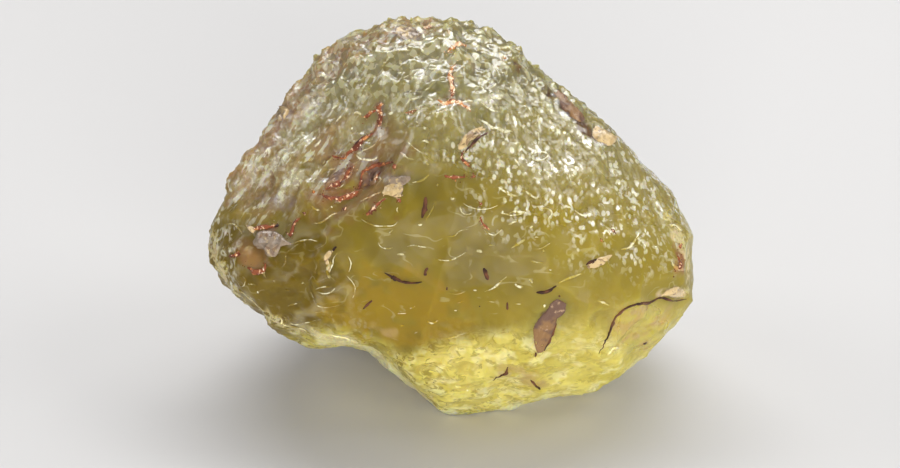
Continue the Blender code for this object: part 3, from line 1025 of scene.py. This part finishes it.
CREVICES_BEHIND = (
    ((60, -61, 81, -66, 96, -59), 0.24, 0.16), ((-91, -98, -76, -109, -73, -124), 0.22, 0.16),
    ((-10, 90, -14, 73), 0.2, 0.14), ((130, -99, 133, -112), 0.2, 0.14),
    ((-164, -53, -152, -60), 0.22, 0.14),
)

crevices = joined("dark_crevices", ribbons(CREVICES) + ribbons(CREVICES_BEHIND, behind=True))
material, shader, place = shader_of("clay and painted shadow in the cracks")
# Near-black painted shadow, broken by umber clay
crack_shadow = (0.030, 0.012, 0.008)
umber = (0.13, 0.050, 0.022)
connect(noise(place, 700, 3).ramp(0.40, 0.66).colour(crack_shadow, umber), shader, "Base Color")
connect(0.40 + 0.35 * noise(place, 1200, 2), shader, "Roughness")
bump(noise(place, 3000, 3), shader, 0.5, 0.0002)
finish(crevices, material)

# ---------------------------------------------------------------------------------------------------
# The glass crests. Thin sharp ridges of the same glass, left standing where two scars or pits meet.
# Their tops are painted pale, as highlights, in lines and dashes across the smooth parts.
# ---------------------------------------------------------------------------------------------------

CREST_HEIGHT = 0.09
# Each ridge's path in the leaning plane, its half width in mm, and how pale its painted highlight is, from
# 0 to 1
CRESTS = (
    # On the crown
    ((-179, 195, -172, 199, -167, 194), 0.35, 1.0), ((-35, 171, -24, 164), 0.12, 0.9),
    ((-67, 154, -51, 169, -37, 172), 0.13, 0.8),
    ((-56, 180, -46, 182, -35, 180, -23, 190, -8, 193), 0.14, 0.8),
    ((-77, 226, -67, 239, -57, 241), 0.15, 0.8),
    ((-67, 193, -60, 197, -47, 204, -31, 207, -8, 208), 0.14, 0.85),
    ((44, 213, 49, 216, 58, 211, 61, 204, 70, 201, 75, 210), 0.18, 0.95),
    ((47, 178, 55, 185, 67, 193), 0.13, 0.8), ((35, 164, 44, 159, 54, 152, 64, 152), 0.13, 0.9),
    ((50, 168, 63, 171, 75, 172), 0.34, 0.9), ((-27, 223, -17, 221), 0.25, 1.0),
    ((-24, 194, -15, 196, -8, 199), 0.36, 1.0), ((-40, 235, -40, 228), 0.25, 0.9),
    ((-68, 226, -58, 236), 0.4, 0.8), ((-74, 205, -64, 198), 0.3, 0.9), ((15, 200, 21, 194), 0.22, 0.9),
    ((33, 247, 42, 248), 0.3, 0.9), ((44, 238, 51, 237), 0.3, 1.0), ((-22, 247, -11, 246), 0.25, 0.9),
    ((62, 214, 70, 211), 0.25, 0.9), ((76, 185, 77, 180), 0.25, 0.9), ((88, 185, 88, 179), 0.25, 0.9),
    ((-93, 209, -86, 219, -82, 226), 0.22, 0.7), ((12, 162, 20, 166, 29, 164), 0.26, 1.0),
    # Round the cracks at the upper left
    ((-96, 122, -96, 115, -107, 103, -120, 98, -128, 94), 0.1, 0.6),
    ((-128, 94, -125, 89, -116, 86, -103, 86, -98, 91), 0.16, 0.95),
    ((-114, 111, -108, 113, -103, 115), 0.08, 0.5), ((-63, 113, -56, 106, -44, 97, -36, 93), 0.12, 0.85),
    ((-70, 96, -62, 90, -49, 86), 0.2, 0.9),
    ((-131, 76, -134, 68, -140, 60, -146, 51, -156, 48, -159, 54), 0.1, 0.7),
    ((-122, 9, -114, 3, -100, -2, -88, -2, -76, -1, -70, 7), 0.11, 0.8),
    ((-70, 14, -74, 19, -71, 24), 0.1, 0.6), ((-185, 2, -173, 3, -163, 10, -150, 16), 0.2, 0.7),
    ((-124, 30, -114, 34, -101, 40, -92, 44), 0.16, 0.7), ((-160, 151, -154, 157, -149, 164), 0.28, 0.8),
    ((-156, 133, -151, 139, -146, 145), 0.22, 0.8), ((-184, 102, -179, 108, -174, 114), 0.26, 0.85),
    ((-195, 84, -190, 88, -186, 91), 0.18, 0.7), ((-96, 65, -95, 61, -96, 56), 0.16, 0.8),
    ((-54, 55, -44, 57, -36, 61, -30, 67), 0.18, 0.7), ((-47, 0, -42, 0, -38, 1), 0.18, 1),
    ((-39, 134, -36, 129, -35, 126), 0.25, 0.8), ((-42, 109, -36, 112, -30, 108), 0.2, 0.8),
    ((-132, 146, -126, 148, -120, 145), 0.3, 0.8), ((-135, 129, -132, 127), 0.25, 0.9),
    ((-126, 121, -120, 119), 0.2, 0.8), ((-147, 115, -145, 112), 0.2, 0.8),
    ((-86, 150, -82, 147, -77, 150), 0.25, 0.85), ((-50, 139, -44, 135), 0.12, 0.8),
    ((-49, 150, -42, 153, -36, 155, -30, 154), 0.12, 0.7), ((-188, 26, -181, 20, -175, 19), 0.25, 0.7),
    ((-162, 24, -156, 23), 0.22, 0.7), ((-171, 75, -163, 74, -154, 76), 0.18, 0.5),
    ((-37, 86, -33, 81, -30, 78), 0.18, 0.8),
    # In the smooth middle
    ((10, 25, 12, 17, 21, 13, 27, 16), 0.16, 0.85), ((13, 29, 21, 24, 37, 20, 52, 22, 62, 26), 0.1, 0.9),
    ((-3, 37, 0, 32, 4, 36), 0.16, 0.95), ((41, -7, 47, -11, 57, -14, 62, -9, 67, -6), 0.1, 0.85),
    ((63, -18, 69, -19), 0.14, 0.8), ((74, 12, 79, 17, 88, 16, 95, 17, 101, 13), 0.16, 0.85),
    ((73, -1, 83, 4, 93, 7), 0.16, 0.8), ((64, 17, 69, 16), 0.22, 0.9),
    ((-9, -15, 3, -15, 9, -9, 23, -6), 0.1, 0.5), ((-61, -30, -52, -27, -41, -29, -32, -31), 0.1, 0.7),
    ((-24, -45, -13, -47, -2, -47, 11, -41, 21, -34), 0.13, 0.75),
    ((-74, -40, -68, -39, -62, -40), 0.22, 0.45), ((30, -34, 41, -37), 0.2, 0.5),
    ((41, -89, 52, -85, 62, -77, 73, -68), 0.14, 0.8), ((26, -86, 34, -87), 0.13, 0.7),
    ((77, -32, 88, -25, 97, -19), 0.25, 0.3), ((106, -32, 118, -32, 126, -27, 135, -21), 0.12, 0.7),
    ((117, -34, 123, -35), 0.2, 0.95), ((102, -48, 112, -50, 123, -51), 0.12, 0.6),
    ((82, -77, 88, -82, 95, -82), 0.28, 0.8), ((101, -71, 105, -76, 108, -77), 0.25, 0.85),
    ((127, -59, 133, -60), 0.22, 0.95), ((-37, 3, -31, 12, -26, 21, -23, 30), 0.08, 0.6),
    ((-46, 0, -39, 1), 0.18, 1), ((101, -4, 109, -2), 0.2, 0.95),
    ((117, 21, 125, 22, 134, 15, 130, 10, 121, 7), 0.13, 0.85), ((46, -27, 59, -28), 0.16, 0.35),
    ((-22, 53, -18, 51), 0.2, 0.95), ((108, -17, 116, -17), 0.16, 0.85), ((106, 6, 111, 6), 0.18, 0.9),
    ((59, 51, 67, 45, 77, 40, 88, 37), 0.2, 0.95), ((95, 44, 103, 41, 111, 35, 116, 38), 0.2, 0.9),
    ((39, 45, 45, 45), 0.18, 0.9),
    # Round the lobe's cups, at the lower left
    ((-228, -58, -222, -48, -220, -38, -212, -31, -203, -25), 0.12, 0.7),
    ((-184, -43, -182, -56, -186, -68, -193, -76), 0.09, 0.5), ((-204, -79, -198, -78), 0.1, 0.5),
    ((-163, -48, -168, -58, -167, -66, -163, -73), 0.3, 0.35),
    ((-151, -37, -158, -46, -161, -54, -165, -64, -161, -72, -155, -76), 0.1, 0.75),
    ((-138, -40, -133, -51, -137, -64), 0.12, 0.7),
    ((-141, -66, -132, -76, -128, -89, -133, -99), 0.1, 0.55),
    ((-182, -89, -171, -92, -159, -89, -155, -83), 0.2, 0.8),
    ((-184, -87, -171, -83, -161, -84), 0.1, 0.45),
    ((-191, -86, -187, -101, -173, -109, -153, -108, -141, -101), 0.1, 0.55),
    ((-220, -109, -212, -106, -203, -105), 0.14, 0.55), ((-225, -86, -217, -89), 0.22, 0.9),
    ((-231, -120, -222, -125, -209, -132, -196, -130, -174, -127), 0.16, 0.6),
    ((-206, -131, -196, -130, -184, -128), 0.1, 0.8), ((-184, -116, -173, -116), 0.15, 0.6),
    ((-98, -21, -97, -27, -87, -32, -77, -30), 0.09, 0.7), ((-85, -12, -77, -7), 0.1, 0.8),
    ((-287, -72, -284, -80, -278, -82, -276, -74, -281, -68, -286, -69), 0.1, 0.7),
    ((-274, -79, -262, -80), 0.2, 0.6), ((-262, -89, -257, -91), 0.22, 1),
    ((-269, -97, -264, -97), 0.25, 0.8), ((-201, -145, -196, -147), 0.2, 0.95),
    ((-251, -128, -245, -130), 0.15, 0.85),
    ((-303, -3, -298, 2, -288, 0, -283, -8, -280, -15), 0.16, 0.8),
    ((-214, -26, -206, -23, -189, -20, -179, -23), 0.14, 0.7),
    ((-249, -56, -250, -63, -244, -71), 0.22, 0.7), ((-238, -74, -234, -75), 0.14, 0.8),
    ((-222, -66, -219, -68), 0.15, 0.7),
    ((-302, -62, -289, -82, -274, -94, -260, -107, -246, -119), 0.15, 0.5),
    ((-235, -118, -220, -132, -202, -140, -173, -149), 0.26, 0.5),
    ((-177, -143, -158, -148, -136, -151, -120, -157), 0.22, 0.5), ((189, -152, 194, -156), 0.14, 0.6),
    # Over the amber patch and on the foot
    ((-73, -117, -59, -117), 0.16, 0.8), ((-57, -112, -48, -107), 0.13, 0.8),
    ((-35, -126, -28, -130, -17, -126), 0.15, 0.8), ((-70, -133, -62, -133), 0.12, 0.6),
    ((-51, -145, -44, -141), 0.14, 0.65), ((1, -113, 8, -113), 0.12, 0.7),
    ((6, -104, 16, -101), 0.13, 0.6), ((-6, -90, 7, -92, 19, -87), 0.08, 0.5),
    ((44, -101, 58, -102), 0.13, 0.6), ((81, -104, 92, -105), 0.13, 0.6),
    ((118, -107, 125, -108), 0.2, 0.8), ((-26, -150, -12, -150, 6, -147, 21, -142), 0.12, 0.5),
    ((3, -210, 9, -215, 14, -213), 0.3, 1), ((16, -217, 23, -219), 0.25, 0.95),
    # On the right end
    ((204, -174, 211, -165, 221, -162), 0.28, 0.7), ((191, -100, 200, -103, 209, -108), 0.18, 0.5),
    ((138, -78, 156, -70, 173, -64), 0.18, 0.4), ((103, -46, 116, -51, 124, -51), 0.1, 0.4),
    ((222, -33, 233, -31, 244, -18, 251, -7), 0.2, 0.8), ((286, 0, 297, 0, 306, -9), 0.2, 0.8),
    ((290, -48, 297, -57, 310, -59), 0.35, 0.6), ((254, -24, 257, -31), 0.18, 0.8),
    ((266, -29, 273, -29), 0.14, 0.8),
    # On the shoulder and the right face
    ((33, 144, 46, 135, 62, 126, 83, 124), 0.25, 0.9),
    ((103, 92, 117, 85, 129, 94, 119, 98, 108, 95), 0.12, 0.9), ((163, 21, 172, 13, 190, 14), 0.16, 0.9),
    ((62, 16, 78, 12, 99, 16), 0.14, 0.8), ((113, 103, 117, 117, 114, 126), 0.12, 0.8),
)

ridges = ribbons([(path, 0.85 * half_width, CREST_HEIGHT) for path, half_width, _ in CRESTS])
crests = joined("glass_crests", ridges)
for name, shows in weathering(round_centre(crests)).items():
    paint(crests, name, shows)
# The pale tops, painted highlights on the outer side of each ridge, fading to its ends
tops = []
for (spots, _), (_, _, pale) in zip(ridges, CRESTS):
    rings = (len(spots) - 2) // RIBBON_SIDES
    s = np.repeat((np.arange(rings) + 1) / (rings + 1), RIBBON_SIDES)
    turn = np.tile(np.arange(RIBBON_SIDES) * 2 * math.pi / RIBBON_SIDES, rings)
    top = pale * np.sin(turn).clip(0) ** 0.8 * np.sin(math.pi * s) ** 0.4
    tops.append(np.concatenate(([0], top, [0])))
paint(crests, "crest_glint", np.concatenate(tops))
thin_glass, shader = worn_glass("thin bright glass")
crests.data.materials.append(thin_glass)
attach(crests, "root")

# ---------------------------------------------------------------------------------------------------
# The pale flakes. Thin scales of weathered glass, tan to grey, lifted at their edges by the clay that
# has crept under them.
# ---------------------------------------------------------------------------------------------------

# Each flake's corners in the leaning plane, its thickness in mm, and how pale it is from 0 to 1
FLAKES = (
    ((-92, 42, -68, 36, -65, 51, -81, 56), 0.15, 0.5), ((-86, 63, -54, 63, -64, 52, -80, 52), 0.12, 0.1),
    ((-264, -14, -260, -8.5, -247, -7, -235, -8.5, -226, -14, -218, -21, -213, -26, -221, -28, -228, -32,
     -235, -43, -242, -43, -250, -38, -253, -34, -261, -31, -266, -23), 0.42, 0.1),
    ((-273, 0, -267, -1, -263, -7, -266, -12, -270, -8), 0.22, 1.0),
    ((275, -94, 284, -88, 295, -82, 304, -85, 312, -90, 309, -96, 296, -96, 287, -94), 0.15, 0.9),
    ((47, 129, 36, 130, 26, 126, 14, 116, 8, 103, 14, 100, 25, 111, 36, 120), 0.18, 0.5),
    ((-156, -33, -163, -39, -166, -51, -165, -67, -169, -59, -171, -46, -164, -35), 0.09, 0.6),
    ((179, -55, 189, -46, 213, -40, 200, -52, 188, -58), 0.15, 0.8),
    ((190, 133, 205, 125, 219, 112, 207, 106, 190, 118), 0.45, 0.6),
    ((-74, 263, -52, 263, -41, 252, -59, 247, -74, 252), 0.23, 0.4),
    ((-233, 140, -236, 153, -228, 160, -219, 153, -222, 139), 0.45, 0.25),
)
FLAKES_BEHIND = (
    ((-131, 99, -114, 102, -109, 89, -124, 82), 0.15, 0.7),
    ((50, 126, 71, 128, 76, 115, 60, 112), 0.15, 0.3), ((150, 14, 172, 12, 173, -2, 154, -5), 0.17, 0.6),
)

scales = lumps([flake[:2] for flake in FLAKES])
scales += lumps([flake[:2] for flake in FLAKES_BEHIND], behind=True)
flakes = joined("pale_flakes", scales)
paint(flakes, "pale", np.repeat([flake[2] for flake in FLAKES + FLAKES_BEHIND], len(scales[0][0])))
material, shader, place = shader_of("weathered glass scale")
sand = (0.44, 0.31, 0.14)
lilac = (0.250, 0.185, 0.125)
umber = (0.150, 0.080, 0.042)
cream = (0.56, 0.41, 0.20)
scale = (noise(place, 170, 2) + 0.35 * mark(place, "pale")).ramp(0.56, 0.68).colour(lilac, sand)
scale = (noise(place, 1100, 3) + 0.30 * mark(place, "pale")).ramp(0.58, 0.74).colour(scale, cream)
folds = noise(place, 520, 3, bend=2.0)
scale = ((folds - 0.05 * mark(place, "pale")).ramp(0.54, 0.60) * 0.7).colour(scale, umber)
connect(scale, shader, "Base Color")
connect(0.22 + 0.3 * noise(place, 800, 3), shader, "Roughness")
bump(0.6 * noise(place, 1500, 3) - 0.8 * folds, shader, 0.8, 0.0005)
even(shader, Coat_Weight=0.8, Coat_Roughness=0.12)
finish(flakes, material)

# ---------------------------------------------------------------------------------------------------
# The brown crusts. Thicker clay in the broken skin: a purple-brown plate in the lower right of the
# front, patches beside the upper crack, and a lump along the right shoulder.
# ---------------------------------------------------------------------------------------------------

# Each crust's corners in the leaning plane, and its thickness in mm
CRUSTS = (
    ((128, -109, 132, -102, 140, -97, 149, -102, 151, -111, 146, -119, 139, -123, 137, -134, 130, -150,
     122, -166, 113, -169, 108, -162, 107, -146, 108, -133, 114, -124, 122, -116), 0.3),
    ((-134, 75, -139, 65, -153, 54, -168, 48, -162, 62, -147, 74), 0.3),
    ((-96, 77, -98, 62, -106, 52, -117, 51, -120, 62, -112, 73), 0.3),
    ((136, 179, 150, 170, 162, 158, 176, 142, 170, 137, 156, 149, 142, 163), 0.25),
)
CRUSTS_BEHIND = (
    ((-120, 69, -106, 68, -104, 52, -119, 49), 0.45), ((80, 114, 97, 106, 92, 92, 79, 98), 0.45),
    ((-32, -24, -20, -33, -34, -46, -46, -36), 0.35),
)

crusts = joined("brown_crusts", lumps(CRUSTS) + lumps(CRUSTS_BEHIND, behind=True))
crust_up = 1000 * leaning_axes()[1] @ round_centre(crusts).T
paint(crusts, "purple", ramp(-14.2, -10.8, crust_up) * (1 - ramp(-8, -4, crust_up)))
material, shader, place = shader_of("hard brown crust")
hazel = (0.225, 0.120, 0.046)
plum = (0.125, 0.068, 0.045)
biscuit = (0.34, 0.22, 0.13)
crust = (noise(place, 420, 3) + 0.06 - 0.25 * mark(place, "purple")).ramp(0.42, 0.56).colour(plum, hazel)
crust = noise(place, 1200, 3, 0.6).ramp(0.60, 0.70).colour(crust, biscuit)
connect(crust, shader, "Base Color")
connect(0.30 + 0.4 * noise(place, 700, 3), shader, "Roughness")
bump(noise(place, 1800, 4, 0.6), shader, 0.7, 0.0003)
even(shader, Coat_Weight=0.35, Coat_Roughness=0.18)
finish(crusts, material)

# ---------------------------------------------------------------------------------------------------
# The stage. A pale floor, soft lights from above and behind, and a dim pale room all round.
# ---------------------------------------------------------------------------------------------------

FLOOR_REACH = 3.0
CAMERA_DISTANCE = 0.350
PICTURE_SHIFT = (-2 / 7530, -9 / 7530)  # of the picture's middle from the stone's, right and up


def light(name, position, width, depth, power, mirrored=True):
    """A soft white light, width across and depth the other way, that faces the stone."""
    lamp = bpy.data.lights.new(name, "AREA")
    lamp.shape = "RECTANGLE"
    lamp.size, lamp.size_y = width, depth
    lamp.energy = power
    made = bpy.data.objects.new(name, lamp)
    made.visible_glossy = mirrored
    made.location = position
    made.rotation_euler = (Vector(CENTRE) - Vector(position)).to_track_quat("-Z", "Y").to_euler()
    bpy.context.scene.collection.objects.link(made)


corners = np.array(((-1, -1, 0), (1, -1, 0), (1, 1, 0), (-1, 1, 0))) * FLOOR_REACH
floor = solid_mesh("floor", corners - (0, 0, 0.0002), np.array(((0, 1, 2, 3),)))
floor_material, floor_shader, _ = shader_of("pale floor")
even(floor_shader, Base_Color=(0.60, 0.59, 0.58, 1), Roughness=0.7)
floor.data.materials.append(floor_material)

light("softbox above and behind", (0.03, 0.26, 0.50), 0.75, 0.22, 3.35)
light("softbox on the right", (0.46, -0.02, 0.43), 0.30, 0.24, 0.9)
light("softbox on the left", (-0.50, 0.10, 0.34), 0.24, 0.24, 0.6)
light("low fill in front", (0.12, -0.80, 0.16), 0.60, 0.25, 9.5, mirrored=False)

world = bpy.data.worlds.new("dim pale room")
world.use_nodes = True
even(world.node_tree.nodes["Background"], Color=(0.9, 0.92, 1.0, 1), Strength=0.15)
bpy.context.scene.world = world

lens = bpy.data.cameras.new("camera")
lens.lens = 105
lens.sensor_width = 36
lens.clip_start = 0.01
camera = bpy.data.objects.new("camera", lens)
right_axis, up_axis, out_axis = leaning_axes()
aim = CENTRE + right_axis * PICTURE_SHIFT[0] + up_axis * PICTURE_SHIFT[1]
camera.location = aim + out_axis * CAMERA_DISTANCE
camera.rotation_euler = Vector(-out_axis).to_track_quat("-Z", "Y").to_euler()
bpy.context.scene.collection.objects.link(camera)
bpy.context.scene.camera = camera
bpy.context.scene.view_settings.view_transform = "Standard"
